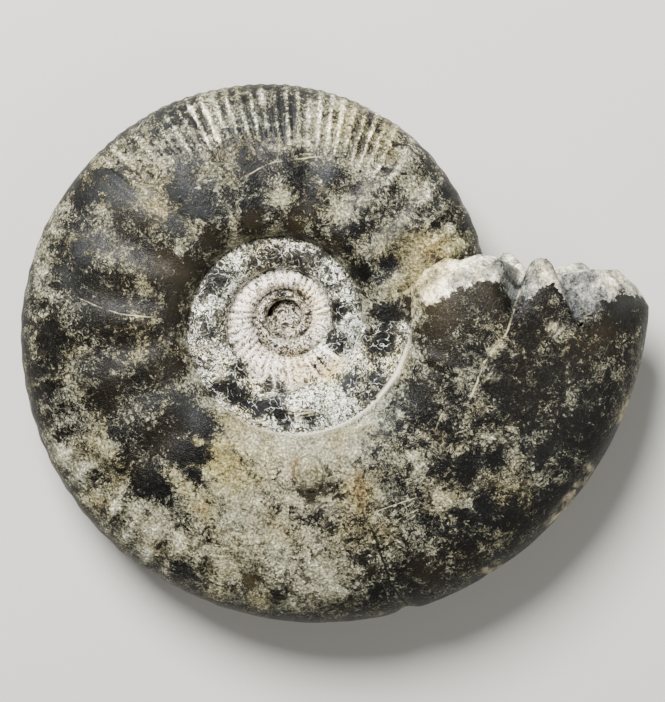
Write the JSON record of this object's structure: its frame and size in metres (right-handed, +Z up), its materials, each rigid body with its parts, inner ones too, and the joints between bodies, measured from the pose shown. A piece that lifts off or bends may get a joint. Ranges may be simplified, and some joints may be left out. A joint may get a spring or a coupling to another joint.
{
  "type": "ammonite fossil",
  "caption": "Flat coiled ammonite in stone, lying on its flank, with a dished middle, ribbed outer edge and a broken end showing the pillowed wall of a chamber.",
  "frame": {"origin": "middle of the stone's footprint box, on the surface that it lies on", "axes": "+Z up, through the flank that it lies on and out of the other; +X towards the outer corner of the broken end; the whorls open counter-clockwise seen from above"},
  "size_m": [0.1986, 0.1718, 0.0512],
  "materials": {
    "fossil_stone": "satin"
  },
  "bodies": {
    "root": {"ammonite": "fossil_stone"}
  },
  "joints": []
}
